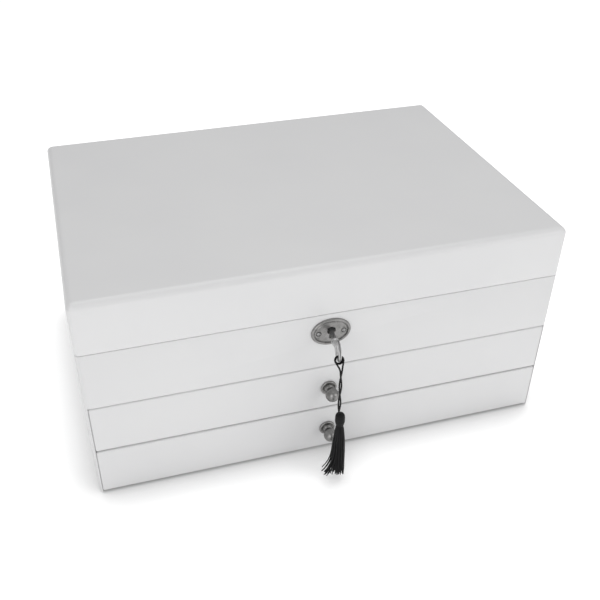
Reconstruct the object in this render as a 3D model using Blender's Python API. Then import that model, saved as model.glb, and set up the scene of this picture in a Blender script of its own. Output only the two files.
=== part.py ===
"""White lacquered jewellery chest: lifting lid with lock, key and tassel, over two drawers with knobs.

Metres. X to the right, Y to the back, Z up. The origin is on the floor under the middle of the case.
"""

import math

import bmesh
import bpy
from mathutils import Matrix, Vector

# Case
WIDTH = 0.300
DEPTH = 0.2146
HEIGHT = 0.144
WALL = 0.009
CORNER_R = 0.003
TOP_EDGE_R = 0.0042
GAP = 0.0003
LIP = 0.0016
FELT_THICKNESS = 0.0007
FELT_INSET = 0.0035
BODY_BOTTOM = 0.0010
BODY_TOP = 0.1097
LID_BOTTOM = 0.1103
LID_TOP_THICKNESS = 0.0090
PANEL_THICKNESS = 0.0060

# Drawers
FRONT_HALF = 0.1479
LOWER_FRONT = (0.0023, 0.0356)
UPPER_FRONT = (0.0365, 0.0703)
SHELF = (0.0335, 0.0385)
DECK = (0.0675, 0.0725)
DRAWER_HALF = 0.1395
DRAWER_WALL = 0.0060
DRAWER_BACK_Y = 0.0940
DRAWER_FLOOR_RISE = 0.0020
DRAWER_FLOOR_THICKNESS = 0.0030
LINING_THICKNESS = 0.0014
DRAWER_HEIGHT = {"lower": (0.0075, 0.0315), "upper": (0.0390, 0.0663)}

# Knobs: (radius, distance out from the drawer front) from the seat to the tip of the ball
KNOB_PROFILE = [
    (0.0051, 0.0002),
    (0.0051, 0.0009),
    (0.0047, 0.0014),
    (0.0035, 0.0016),
    (0.0029, 0.0021),
    (0.0022, 0.0027),
    (0.0021, 0.0034),
    (0.0030, 0.0040),
]
KNOB_BALL_R = 0.0044
KNOB_BALL_OUT = 0.0079
KNOB_BORE_R = 0.0014
KNOB_BORE_DEPTH = 0.0060
KNOB_SCREW_R = 0.0011
KNOB_HOLE_R = 0.0015

# Lock, key and tassel. HARDWARE_X is how far the keyhole and the knobs sit from the middle.
HARDWARE_X = -0.0010
PLATE_Z = 0.0974
KEYHOLE_Z = 0.0986
KEYHOLE_R = 0.00275
KEYHOLE_SLOT = (0.0024, 0.0058)
PLATE_HALF = (0.0125, 0.0095)
PLATE_THICKNESS = 0.0015
PIN_SPREAD = 0.0079
LOCK_RECESS = ((-0.0180, 0.0180), (0.0842, BODY_TOP), 0.0065)
LOCK_WALL = 0.0012
KEY_YAW = math.radians(-7.2)
KEY_SHAFT_R = 0.0016
BOW_CENTRE = 0.0212
BOW_R = 0.0064
BOW_HOLE_R = 0.0044
BOW_THICKNESS = 0.0018
BOLT_Y = (-0.1029, -0.1011)
HOOK_X = (-0.0080, 0.0130)
CORD_DIAMETER = 0.0011
CORD_TURNS = 2.5
CORD_STEPS = 12
CORD_LOOP_R = 0.0027
CORD_POINTS = 110
CORD_EASING = 4
RIM_ANGLE = 45
HANG_OUT = 0.0022
HANG_ACROSS = 0.0009
TASSEL_TOP = 0.0552
TASSEL_NECK = 0.0460
TASSEL_BOTTOM = 0.0034

# Hinges
HINGE_X = 0.0950
HINGE_AXIS = (0.1095, 0.1100)
KNUCKLE_R = 0.0017
HINGE_PIN_R = 0.0007
LEAF_HALF = 0.0150
LEAF_HEIGHT = 0.0120
LEAF_THICKNESS = 0.0010
KNUCKLE_SPLIT = 0.0055

# Inside
DIVIDER_THICKNESS = 0.0030
DIVIDER_TOP = 0.0980
LONG_DIVIDER_Y = 0.0220
REAR_DIVIDER_X = 0.0480
FRONT_DIVIDER_X = -0.0400
ROLL_COUNT = 6
ROLL_TOP = 0.0975
MIRROR_HALF = (0.1200, 0.0740)
MIRROR_THICKNESS = 0.0025

FRONT_Y = -DEPTH / 2
BACK_Y = DEPTH / 2
SIDE_X = WIDTH / 2
INNER_Y = FRONT_Y + WALL

COLOURS = {
    "white_lacquer": ((0.86, 0.86, 0.85), 0.0, 0.35),
    "drawer_wood": ((0.82, 0.81, 0.79), 0.0, 0.5),
    "velvet": ((0.30, 0.30, 0.32), 0.0, 0.95),
    "felt": ((0.05, 0.05, 0.05), 0.0, 0.95),
    "antique_nickel": ((0.30, 0.29, 0.28), 1.0, 0.35),
    "steel": ((0.60, 0.60, 0.60), 1.0, 0.30),
    "mirror_glass": ((0.90, 0.92, 0.92), 1.0, 0.03),
    "tassel_thread": ((0.02, 0.02, 0.02), 0.0, 0.8),
}


def clear_scene():
    """Empty the scene of whatever it starts with."""
    for obj in list(bpy.data.objects):
        bpy.data.objects.remove(obj, do_unlink=True)


def make_materials():
    """One plain material for each finish."""
    made = {}
    for name, (colour, metallic, roughness) in COLOURS.items():
        material = bpy.data.materials.new(name)
        material.use_nodes = True
        shader = material.node_tree.nodes["Principled BSDF"]
        shader.inputs["Base Color"].default_value = (*colour, 1.0)
        shader.inputs["Metallic"].default_value = metallic
        shader.inputs["Roughness"].default_value = roughness
        made[name] = material
    return made


clear_scene()
MATERIALS = make_materials()


def mesh_object(name, verts, faces, material):
    """A mesh object with outward faces, linked into the scene."""
    mesh = bpy.data.meshes.new(name)
    mesh.from_pydata([tuple(v) for v in verts], [], faces)
    bm = bmesh.new()
    bm.from_mesh(mesh)
    bmesh.ops.recalc_face_normals(bm, faces=bm.faces)
    bm.to_mesh(mesh)
    bm.free()
    obj = bpy.data.objects.new(name, mesh)
    bpy.context.collection.objects.link(obj)
    if material:
        mesh.materials.append(MATERIALS[material])
    return obj


def stack(name, rings, material):
    """A closed solid through rings of equally many points, with a flat cap at each end."""
    count = len(rings[0])
    verts = [point for ring in rings for point in ring]
    faces = [list(range(count))]
    for level in range(len(rings) - 1):
        first = level * count
        for k in range(count):
            after = (k + 1) % count
            faces.append([first + k, first + after, first + count + after, first + count + k])
    faces.append([(len(rings) - 1) * count + k for k in range(count)])
    return mesh_object(name, verts, faces, material)


def box(name, x, y, z, material):
    """A block between two limits on each axis."""
    rings = [[(x[0], y[0], h), (x[1], y[0], h), (x[1], y[1], h), (x[0], y[1], h)] for h in z]
    return stack(name, rings, material)


def arc(centre, radius, start, end, steps):
    """Points along an arc in a plane, angles in degrees."""
    points = []
    for k in range(steps + 1):
        angle = math.radians(start + (end - start) * k / steps)
        points.append((centre[0] + radius * math.cos(angle), centre[1] + radius * math.sin(angle)))
    return points


def rounded_rectangle(x, y, radius, steps=5):
    """The outline of a rectangle with round corners, seen from above."""
    left, right = x[0] + radius, x[1] - radius
    near, far = y[0] + radius, y[1] - radius
    points = arc((right, near), radius, -90, 0, steps)
    points += arc((right, far), radius, 0, 90, steps)
    points += arc((left, far), radius, 90, 180, steps)
    points += arc((left, near), radius, 180, 270, steps)
    return points


def prism(name, outline, z, material):
    """An outline seen from above, raised between two heights."""
    return stack(name, [[(px, py, h) for px, py in outline] for h in z], material)


def prism_y(name, outline, y, material):
    """An outline seen from the front, as (x, z), carried between two depths."""
    return stack(name, [[(px, depth, pz) for px, pz in outline] for depth in y], material)


def lathe_y(name, profile, centre, material, steps=32):
    """A solid turned about a line along Y, profile as (radius, y) from end to end."""
    rings = []
    for radius, y in profile:
        ring = arc(centre, radius, 0, 360 - 360 / steps, steps - 1)
        rings.append([(px, y, pz) for px, pz in ring])
    return stack(name, rings, material)


def lathe_z(name, profile, centre, material, steps=24):
    """A solid turned about an upright line, profile as (radius, z)."""
    rings = []
    for radius, z in profile:
        ring = arc(centre, radius, 0, 360 - 360 / steps, steps - 1)
        rings.append([(px, py, z) for px, py in ring])
    return stack(name, rings, material)


def rod_x(name, x, centre, radius, material, steps=24):
    """A round bar along X, its centre given as (y, z)."""
    ring = arc(centre, radius, 0, 360 - 360 / steps, steps - 1)
    return stack(name, [[(h, py, pz) for py, pz in ring] for h in x], material)


def soften(obj, width, segments=2):
    """Take the sharp edges off a piece."""
    bevel = obj.modifiers.new("edges", "BEVEL")
    bevel.width = width
    bevel.segments = segments
    bevel.limit_method = "ANGLE"
    bevel.angle_limit = math.radians(40)
    return obj


def smooth(obj, angle=35):
    """Shade a piece smooth, except over its sharp edges."""
    obj.data.shade_smooth()
    obj.data.set_sharp_from_angle(angle=math.radians(angle))
    return obj


def combine(obj, tool, operation):
    """Cut a hidden tool from a piece, or weld it on."""
    tool.hide_render = True
    tool.display_type = "WIRE"
    modifier = obj.modifiers.new(tool.name, "BOOLEAN")
    modifier.operation = operation
    modifier.solver = "EXACT"
    modifier.object = tool
    return obj


def cut(obj, tool):
    return combine(obj, tool, "DIFFERENCE")


def weld(obj, tool):
    return combine(obj, tool, "UNION")


def axis_empty(name, place):
    """A marker on a joint's axis that its moving pieces hang from."""
    empty = bpy.data.objects.new(name, None)
    empty.empty_display_size = 0.01
    empty.location = place
    bpy.context.collection.objects.link(empty)
    bpy.context.view_layer.update()
    return empty


def hang_from(empty, *pieces):
    """Parent pieces to a marker without moving them."""
    for piece in pieces:
        piece.parent = empty
        piece.matrix_parent_inverse = empty.matrix_world.inverted()


def turned_about(obj, place, angle):
    """Turn a piece's mesh about an upright line."""
    centre = Vector(place)
    turn = Matrix.Translation(centre) @ Matrix.Rotation(angle, 4, "Z") @ Matrix.Translation(-centre)
    obj.data.transform(turn)
    return obj


# Case


def side_outline(sign):
    """A side panel from above: rounded outer corners, and a rebate at the front that leaves a thin lip."""
    outer = SIDE_X
    inner = SIDE_X - WALL
    rounds = arc((outer - CORNER_R, FRONT_Y + CORNER_R), CORNER_R, -62, 0, 4)
    back = arc((outer - CORNER_R, BACK_Y - CORNER_R), CORNER_R, 0, 90, 5)
    points = rounds + back + [(inner, BACK_Y), (inner, INNER_Y + GAP), (outer - LIP, INNER_Y + GAP)]
    return [(sign * px, py) for px, py in points]


def make_case_walls():
    """Sides, back, bottom, the shelf between the drawers and the deck above them."""
    inner = SIDE_X - WALL - GAP
    inner_y = (INNER_Y + GAP, BACK_Y - WALL)
    for name, sign in (("case_left_side", -1), ("case_right_side", 1)):
        smooth(prism(name, side_outline(sign), (BODY_BOTTOM, BODY_TOP), "white_lacquer"))
    box("case_back", (-inner, inner), (BACK_Y - WALL + GAP, BACK_Y), (BODY_BOTTOM, BODY_TOP), "white_lacquer")
    bottom = (BODY_BOTTOM, BODY_BOTTOM + PANEL_THICKNESS)
    box("case_bottom", (-inner, inner), inner_y, bottom, "white_lacquer")
    box("drawer_shelf", (-inner, inner), inner_y, SHELF, "drawer_wood")
    box("case_deck", (-inner, inner), inner_y, DECK, "white_lacquer")


def make_front_rail():
    """The fixed front above the drawers, hollowed behind for the lock and bored for the key."""
    rail_z = (UPPER_FRONT[1] + 0.0008, BODY_TOP)
    rail = box("case_front_rail", (-FRONT_HALF, FRONT_HALF), (FRONT_Y, INNER_Y), rail_z, "white_lacquer")
    recess_x, recess_z, depth = LOCK_RECESS
    recess_y = (INNER_Y - depth, INNER_Y + 0.002)
    cut(rail, box("lock_recess_cutter", recess_x, recess_y, (recess_z[0], 0.115), None))
    through_rail = (FRONT_Y - 0.002, INNER_Y)
    bore = [(0.0041, depth) for depth in through_rail]
    cut(rail, lathe_y("rail_keyhole_cutter", bore, (HARDWARE_X, KEYHOLE_Z), None))
    slot_x = (HARDWARE_X - 0.0022, HARDWARE_X + 0.0022)
    slot_z = (KEYHOLE_Z - 0.0068, KEYHOLE_Z)
    cut(rail, box("rail_slot_cutter", slot_x, through_rail, slot_z, None))
    for name, sign in (("left", -1), ("right", 1)):
        hole = [(0.0008, FRONT_Y - 0.001), (0.0008, FRONT_Y + 0.0022)]
        centre = (HARDWARE_X + sign * PIN_SPREAD, PLATE_Z)
        cut(rail, lathe_y(f"pin_hole_cutter_{name}", hole, centre, None, 12))
    return rail


def make_base_felt():
    """The felt sheet that the chest stands on, a little inside its edges."""
    x = (-SIDE_X + FELT_INSET, SIDE_X - FELT_INSET)
    y = (FRONT_Y + FELT_INSET, BACK_Y - FELT_INSET)
    prism("base_felt", rounded_rectangle(x, y, 0.002, 3), (0.0, FELT_THICKNESS), "felt")


# Lid


def make_lid_shell():
    """A top board with rounded edges over four boards that make the lid's walls."""
    footprint = ((-SIDE_X, SIDE_X), (FRONT_Y, BACK_Y))
    rings = [[(px, py, HEIGHT - LID_TOP_THICKNESS) for px, py in rounded_rectangle(*footprint, CORNER_R)]]
    for inset, drop in arc((TOP_EDGE_R, TOP_EDGE_R), TOP_EDGE_R, 180, 270, 5):
        x = (footprint[0][0] + inset, footprint[0][1] - inset)
        y = (footprint[1][0] + inset, footprint[1][1] - inset)
        corner = max(CORNER_R - inset * 0.5, 0.0008)
        rings.append([(px, py, HEIGHT - drop) for px, py in rounded_rectangle(x, y, corner)])
    top = smooth(stack("lid_top", rings, "white_lacquer"))

    wall_z = (LID_BOTTOM, HEIGHT - LID_TOP_THICKNESS - GAP)
    front_outline = arc((SIDE_X - CORNER_R, FRONT_Y + CORNER_R), CORNER_R, -90, 0, 5)
    front_outline += [(SIDE_X, INNER_Y), (-SIDE_X, INNER_Y)]
    front_outline += arc((-SIDE_X + CORNER_R, FRONT_Y + CORNER_R), CORNER_R, 180, 270, 5)
    front = smooth(prism("lid_front", front_outline, wall_z, "white_lacquer"))
    back_outline = [(px, -py) for px, py in front_outline]
    back = smooth(prism("lid_back", back_outline, wall_z, "white_lacquer"))
    between = (INNER_Y + GAP, BACK_Y - WALL - GAP)
    left = box("lid_left", (-SIDE_X, -SIDE_X + WALL), between, wall_z, "white_lacquer")
    right = box("lid_right", (SIDE_X - WALL, SIDE_X), between, wall_z, "white_lacquer")
    recess = box(
        "strike_recess_cutter",
        (HOOK_X[0] - 0.0068, HOOK_X[1] + 0.0048),
        (FRONT_Y + 0.0020, INNER_Y + 0.002),
        (LID_BOTTOM - 0.002, LID_BOTTOM + 0.0018),
        None,
    )
    cut(front, recess)
    return [top, front, back, left, right]


def make_lid_inside():
    """Velvet inside the lid, and a mirror on it."""
    under = HEIGHT - LID_TOP_THICKNESS - GAP
    x = SIDE_X - WALL - GAP
    y = BACK_Y - WALL - GAP
    lining = box("lid_lining", (-x, x), (-y, y), (under - LINING_THICKNESS, under), "velvet")
    face = under - LINING_THICKNESS - GAP
    mirror_x = (-MIRROR_HALF[0], MIRROR_HALF[0])
    mirror_y = (-MIRROR_HALF[1], MIRROR_HALF[1])
    mirror = box("lid_mirror", mirror_x, mirror_y, (face - MIRROR_THICKNESS, face), "mirror_glass")
    soften(mirror, 0.0008, 1)
    return [lining, mirror]


def make_strike():
    """The plate under the lid's front edge, with two eyed hooks that go down into the lock."""
    plate_z = (LID_BOTTOM + 0.0003, LID_BOTTOM + 0.0015)
    plate = box(
        "strike_plate",
        (HOOK_X[0] - 0.0065, HOOK_X[1] + 0.0045),
        (FRONT_Y + 0.0023, INNER_Y),
        plate_z,
        "steel",
    )
    for name, x in (("left", HOOK_X[0]), ("right", HOOK_X[1])):
        hook_x = (x - 0.0008, x + 0.0008)
        hook_z = (0.1016, plate_z[0] + 0.0005)
        weld(plate, box(f"hook_tool_{name}", hook_x, (-0.1040, -0.1000), hook_z, None))
        eye = box(f"eye_cutter_{name}", (x - 0.002, x + 0.002), (-0.1032, -0.1008), (0.1030, 0.1058), None)
        cut(plate, eye)
    return plate


# Hinges


def make_hinge(side, sign):
    """Two leaves on the back with their knuckles on the lid's axis, and the pin through them."""
    middle = sign * HINGE_X
    axis_y, axis_z = HINGE_AXIS
    leaf_y = (BACK_Y + GAP, BACK_Y + GAP + LEAF_THICKNESS)
    leaf_x = (middle - LEAF_HALF, middle + LEAF_HALF)
    centre_x = (middle - KNUCKLE_SPLIT, middle + KNUCKLE_SPLIT)
    play = 0.0003
    leaves = []
    for part, low, high, knuckles, gaps in (
        (
            "case",
            axis_z - LEAF_HEIGHT,
            axis_z - 0.0006,
            [(leaf_x[0], centre_x[0] - play), (centre_x[1] + play, leaf_x[1])],
            [centre_x],
        ),
        (
            "lid",
            axis_z + 0.0006,
            axis_z + LEAF_HEIGHT,
            [centre_x],
            [(leaf_x[0] - 0.001, centre_x[0]), (centre_x[1], leaf_x[1] + 0.001)],
        ),
    ):
        leaf = box(f"{part}_hinge_leaf_{side}", leaf_x, leaf_y, (low, high), "steel")
        for number, span in enumerate(knuckles):
            barrel = rod_x(f"{part}_knuckle_{side}_{number}", span, HINGE_AXIS, KNUCKLE_R, None)
            weld(leaf, barrel)
        for number, span in enumerate(gaps):
            wide = (span[0] - play, span[1] + play)
            relief = rod_x(f"{part}_relief_{side}_{number}", wide, HINGE_AXIS, KNUCKLE_R + play, None)
            cut(leaf, relief)
        bore_x = (leaf_x[0] - 0.002, leaf_x[1] + 0.002)
        cut(leaf, rod_x(f"{part}_pin_bore_{side}", bore_x, HINGE_AXIS, HINGE_PIN_R + play, None))
        for number, offset in enumerate((-0.0100, 0.0100)):
            head_z = axis_z + (LEAF_HEIGHT * 0.62 if part == "lid" else -LEAF_HEIGHT * 0.62)
            head = [(0.0018, leaf_y[1] - 0.0003), (0.0018, leaf_y[1] + 0.0002), (0.0011, leaf_y[1] + 0.0006)]
            weld(leaf, lathe_y(f"{part}_screw_{side}_{number}", head, (middle + offset, head_z), None, 16))
        leaves.append(leaf)
    rod_x(f"hinge_pin_{side}", (leaf_x[0] - 0.0004, leaf_x[1] + 0.0004), HINGE_AXIS, HINGE_PIN_R, "steel", 16)
    return leaves[1]


# Inside the top compartment


def make_compartment():
    """Velvet on the deck, dividers, and a pad of rolls that hold rings."""
    half = SIDE_X - WALL - 2 * GAP
    near, far = INNER_Y + 0.0012, BACK_Y - WALL - GAP
    floor = DECK[1] + GAP
    lining = (floor, floor + LINING_THICKNESS)
    box("compartment_lining", (-half, half), (near, far), lining, "velvet")
    foot = lining[1] + GAP
    stand = (foot, DIVIDER_TOP)
    thick = DIVIDER_THICKNESS / 2
    long_y = (LONG_DIVIDER_Y - thick, LONG_DIVIDER_Y + thick)
    soften(box("long_divider", (-half, half), long_y, stand, "velvet"), 0.0006)
    behind = (long_y[1] + GAP, far)
    for name, x in (("rear_divider_left", -REAR_DIVIDER_X), ("rear_divider_right", REAR_DIVIDER_X)):
        soften(box(name, (x - thick, x + thick), behind, stand, "velvet"), 0.0006)
    before = (near, long_y[0] - GAP)
    front_x = (FRONT_DIVIDER_X - thick, FRONT_DIVIDER_X + thick)
    soften(box("front_divider", front_x, before, stand, "velvet"), 0.0006)
    make_ring_cushion((-half + 0.0004, front_x[0] - 0.0004), (before[0], before[1] - 0.0003), foot)


def make_ring_cushion(x, y, foot):
    """Soft rolls side by side on one base, with a groove between each pair."""
    pitch = (y[1] - y[0]) / ROLL_COUNT
    radius = pitch / 2
    outline = [(y[0], foot)]
    for k in range(ROLL_COUNT):
        middle = y[0] + pitch * (k + 0.5)
        for py, pz in arc((middle, ROLL_TOP - radius), radius, 160, 20, 6):
            outline.append((py, pz))
    outline.append((y[1], foot))
    rings = [[(px, py, pz) for py, pz in outline] for px in x]
    return smooth(stack("ring_cushion", rings, "velvet"), 60)


# Drawers


def make_drawer(level, front_z):
    """A drawer: a flush front over a box with a lined floor, and its knob with the screw behind it."""
    low, high = DRAWER_HEIGHT[level]
    front_x = (-FRONT_HALF, FRONT_HALF)
    front = box(f"{level}_drawer_front", front_x, (FRONT_Y, INNER_Y), front_z, "white_lacquer")
    knob_z = sum(front_z) / 2 - 0.0003
    bore = [(KNOB_HOLE_R, FRONT_Y - 0.001), (KNOB_HOLE_R, INNER_Y + 0.001)]
    hole = lathe_y(f"{level}_knob_hole_cutter", bore, (HARDWARE_X, knob_z), None, 16)
    soften(front, 0.0007)
    cut(front, hole)
    box_y = (INNER_Y + GAP, DRAWER_BACK_Y)
    inside = DRAWER_HALF - DRAWER_WALL
    pieces = [front]
    for name, x in (("left", (-DRAWER_HALF, -inside)), ("right", (inside, DRAWER_HALF))):
        side = box(f"{level}_drawer_{name}", x, box_y, (low, high), "drawer_wood")
        pieces.append(soften(side, 0.0006))
    across = (-inside + GAP, inside - GAP)
    back_y = (DRAWER_BACK_Y - DRAWER_WALL, DRAWER_BACK_Y)
    pieces.append(soften(box(f"{level}_drawer_back", across, back_y, (low, high), "drawer_wood"), 0.0006))
    floor_y = (box_y[0], back_y[0] - GAP)
    floor_z = (low + DRAWER_FLOOR_RISE, low + DRAWER_FLOOR_RISE + DRAWER_FLOOR_THICKNESS)
    pieces.append(box(f"{level}_drawer_bottom", across, floor_y, floor_z, "drawer_wood"))
    lining_z = (floor_z[1] + GAP, floor_z[1] + GAP + LINING_THICKNESS)
    lining_x = (across[0] + GAP, across[1] - GAP)
    pieces.append(box(f"{level}_drawer_lining", lining_x, floor_y, lining_z, "velvet"))
    pieces += make_knob(level, knob_z)
    hang_from(axis_empty(f"{level}_drawer_slide_axis", (HARDWARE_X, FRONT_Y, knob_z)), *pieces)


def make_knob(level, knob_z):
    """A ball knob on a turned seat, bored for the screw that holds it from inside the drawer."""
    profile = [(radius, FRONT_Y - out) for radius, out in KNOB_PROFILE]
    for radius, y in arc((0, FRONT_Y - KNOB_BALL_OUT), KNOB_BALL_R, 42, -84, 12):
        profile.append((radius, y))
    bore = FRONT_Y - KNOB_BORE_DEPTH
    bore_profile = [(KNOB_BORE_R, bore), (KNOB_BORE_R, FRONT_Y - KNOB_PROFILE[0][1])]
    rings = bore_profile + profile
    knob = smooth(lathe_y(f"{level}_drawer_knob", rings, (HARDWARE_X, knob_z), "antique_nickel", 28))
    screw_profile = [
        (KNOB_SCREW_R, bore + 0.0006),
        (KNOB_SCREW_R, INNER_Y + 0.0003),
        (0.0030, INNER_Y + 0.0003),
        (0.0028, INNER_Y + 0.0014),
        (0.0014, INNER_Y + 0.0021),
    ]
    screw = smooth(lathe_y(f"{level}_drawer_knob_screw", screw_profile, (HARDWARE_X, knob_z), "steel", 20))
    return [knob, screw]


# Lock, escutcheon and key


def ellipse_ring(scale, y):
    """The escutcheon's outline drawn in, at one depth."""
    points = []
    for k in range(48):
        angle = math.tau * k / 48
        x = HARDWARE_X + PLATE_HALF[0] * scale * math.cos(angle)
        z = PLATE_Z + PLATE_HALF[1] * scale * math.sin(angle)
        points.append((x, y, z))
    return points


def make_escutcheon():
    """An oval plate with a raised rim, its keyhole, and the two pins that hold it."""
    face = FRONT_Y - PLATE_THICKNESS
    back = FRONT_Y - 0.0001
    rings = [
        ellipse_ring(1.0, back),
        ellipse_ring(1.0, face + 0.0007),
        ellipse_ring(0.965, face + 0.0002),
        ellipse_ring(0.925, face),
        ellipse_ring(0.880, face + 0.0002),
        ellipse_ring(0.850, face + 0.0006),
        ellipse_ring(0.800, face + 0.0006),
        ellipse_ring(0.300, face + 0.0003),
    ]
    plate = smooth(stack("escutcheon", rings, "antique_nickel"), 50)
    through_plate = (face - 0.001, FRONT_Y + 0.001)
    round_hole = [(KEYHOLE_R, depth) for depth in through_plate]
    cut(plate, lathe_y("plate_hole_cutter", round_hole, (HARDWARE_X, KEYHOLE_Z), None, 28))
    half, reach = KEYHOLE_SLOT[0] / 2, KEYHOLE_SLOT[1]
    slot_x = (HARDWARE_X - half, HARDWARE_X + half)
    cut(plate, box("plate_slot_cutter", slot_x, through_plate, (KEYHOLE_Z - reach, KEYHOLE_Z), None))
    for name, sign in (("left", -1), ("right", 1)):
        place = (HARDWARE_X + sign * PIN_SPREAD, PLATE_Z)
        bore = [(0.0008, depth) for depth in through_plate]
        cut(plate, lathe_y(f"plate_pin_cutter_{name}", bore, place, None, 12))
        head = face + 0.0003
        pin = [
            (0.0005, FRONT_Y + 0.0018),
            (0.0005, head),
            (0.0012, head),
            (0.0011, head - 0.0004),
            (0.0007, head - 0.0007),
            (0.0003, head - 0.0008),
        ]
        smooth(lathe_y(f"escutcheon_pin_{name}", pin, place, "antique_nickel", 14))


def make_lock_case():
    """The lock's metal case, let into the back of the rail, with slots on top for the hooks."""
    recess_x, recess_z, depth = LOCK_RECESS
    x = (recess_x[0] + GAP, recess_x[1] - GAP)
    z = (recess_z[0] + GAP, recess_z[1] - GAP)
    y = (INNER_Y - depth + GAP, INNER_Y + GAP)
    case = box("lock_case", x, y, z, "steel")
    room = box(
        "lock_room_cutter",
        (x[0] + LOCK_WALL, x[1] - LOCK_WALL),
        (y[0] - 0.001, y[1] - LOCK_WALL),
        (z[0] + LOCK_WALL, z[1] - LOCK_WALL),
        None,
    )
    cut(case, room)
    for name, hook in (("left", HOOK_X[0]), ("right", HOOK_X[1])):
        slot_x = (hook - 0.0014, hook + 0.0014)
        cut(case, box(f"hook_slot_cutter_{name}", slot_x, (-0.1046, -0.0993), (0.106, 0.112), None))


def make_lock_bolt():
    """The sliding bolt: a bar low in the lock with two raised fingers beside the hooks' eyes."""
    left = HOOK_X[0]
    right = HOOK_X[1]
    outline = [
        (left - 0.0066, 0.0880),
        (right - 0.0046, 0.0880),
        (right - 0.0046, 0.1034),
        (right - 0.0012, 0.1034),
        (right - 0.0012, 0.1054),
        (right - 0.0062, 0.1054),
        (right - 0.0062, 0.0905),
        (left - 0.0050, 0.0905),
        (left - 0.0050, 0.1034),
        (left - 0.0012, 0.1034),
        (left - 0.0012, 0.1054),
        (left - 0.0066, 0.1054),
    ]
    bolt = prism_y("lock_bolt", outline, BOLT_Y, "steel")
    hang_from(axis_empty("lock_bolt_slide_axis", (0, BOLT_Y[0], 0.0892)), bolt)


def make_key():
    """The key in its rest pose, bit down and bow upright, a little askew in its loose keyhole."""
    place = (HARDWARE_X, FRONT_Y, KEYHOLE_Z)
    shaft_profile = [
        (KEY_SHAFT_R, FRONT_Y + 0.0062),
        (KEY_SHAFT_R, FRONT_Y - 0.0108),
        (0.0023, FRONT_Y - 0.0112),
        (0.0023, FRONT_Y - 0.0124),
        (0.0018, FRONT_Y - 0.0128),
        (0.0020, FRONT_Y - 0.0140),
        (0.0017, FRONT_Y - 0.0158),
    ]
    key = lathe_y("key", shaft_profile, (HARDWARE_X, KEYHOLE_Z), "antique_nickel", 24)
    bit_x = (HARDWARE_X - 0.00075, HARDWARE_X + 0.00075)
    bit = box("bit_tool", bit_x, (FRONT_Y + 0.0034, FRONT_Y + 0.0060), (KEYHOLE_Z - 0.0050, KEYHOLE_Z), None)
    bow_y = FRONT_Y - BOW_CENTRE
    half = BOW_THICKNESS / 2
    rings = []
    for x, radius in (
        (-half, BOW_R - 0.0006),
        (-half + 0.0006, BOW_R),
        (half - 0.0006, BOW_R),
        (half, BOW_R - 0.0006),
    ):
        rings.append([(HARDWARE_X + x, py, pz) for py, pz in arc((bow_y, KEYHOLE_Z), radius, 0, 350, 35)])
    bow = stack("bow_tool", rings, None)
    eye_x = (HARDWARE_X - 0.004, HARDWARE_X + 0.004)
    eye = rod_x("bow_eye_cutter", eye_x, (bow_y, KEYHOLE_Z), BOW_HOLE_R, None, 28)
    for tool in (key, bit, bow, eye):
        turned_about(tool, place, KEY_YAW)
    weld(key, bit)
    weld(key, bow)
    cut(key, eye)
    smooth(key)
    hang_from(axis_empty("key_axis", place), key)


def make_lock_drum():
    """The ring in the lock that the key's bit turns."""
    place = (HARDWARE_X, FRONT_Y, KEYHOLE_Z)
    centre = (HARDWARE_X, KEYHOLE_Z)
    depth = (FRONT_Y + 0.0036, FRONT_Y + 0.0046)
    drum = lathe_y("lock_drum", [(0.0060, depth[0]), (0.0060, depth[1])], centre, "steel", 28)
    reach = (depth[0] - 0.001, depth[1] + 0.001)
    hole = lathe_y("drum_hole_cutter", [(0.0021, reach[0]), (0.0021, reach[1])], centre, None, 24)
    slot_x = (HARDWARE_X - 0.0011, HARDWARE_X + 0.0011)
    slot = box("drum_slot_cutter", slot_x, reach, (KEYHOLE_Z - 0.0053, KEYHOLE_Z), None)
    for tool in (drum, hole, slot):
        turned_about(tool, place, KEY_YAW)
    cut(drum, hole)
    cut(drum, slot)
    hang_from(bpy.data.objects["key_axis"], drum)


# Cord and tassel


def key_directions():
    """Unit vectors out along the key and across it, both level."""
    out = Vector((math.sin(KEY_YAW), -math.cos(KEY_YAW), 0.0))
    across = Vector((math.cos(KEY_YAW), math.sin(KEY_YAW), 0.0))
    return out, across


def rim_point():
    """The middle of the bow's rim where the cord goes round it."""
    out, _ = key_directions()
    middle = (BOW_R + BOW_HOLE_R) / 2
    angle = math.radians(RIM_ANGLE)
    centre = Vector((HARDWARE_X, FRONT_Y, KEYHOLE_Z)) + out * BOW_CENTRE
    return centre + out * middle * math.cos(angle) + Vector((0, 0, -middle * math.sin(angle)))


def hang_point():
    """Where the tassel hangs plumb, a little to the side of the rim."""
    out, across = key_directions()
    return rim_point() + out * HANG_OUT + across * HANG_ACROSS


def through(points, count):
    """A smooth curve through points, sampled evenly enough for a tube."""
    samples = []
    last = len(points) - 1
    for k in range(count):
        at = k * last / (count - 1)
        n = min(int(at), last - 1)
        t = at - n
        before = points[max(n - 1, 0)]
        start, end = points[n], points[n + 1]
        after = points[min(n + 2, last)]
        place = start * 2 + (end - before) * t
        place += (before * 2 - start * 5 + end * 4 - after) * t**2
        place += (start * 3 - before - end * 3 + after) * t**3
        samples.append(place / 2)
    return samples


def eased(points):
    """The curve with its sharpest bends relaxed, its ends kept."""
    for _ in range(CORD_EASING):
        middle = [(a + b * 2 + c) / 4 for a, b, c in zip(points, points[1:], points[2:])]
        points = [points[0], *middle, points[-1]]
    return points


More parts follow.
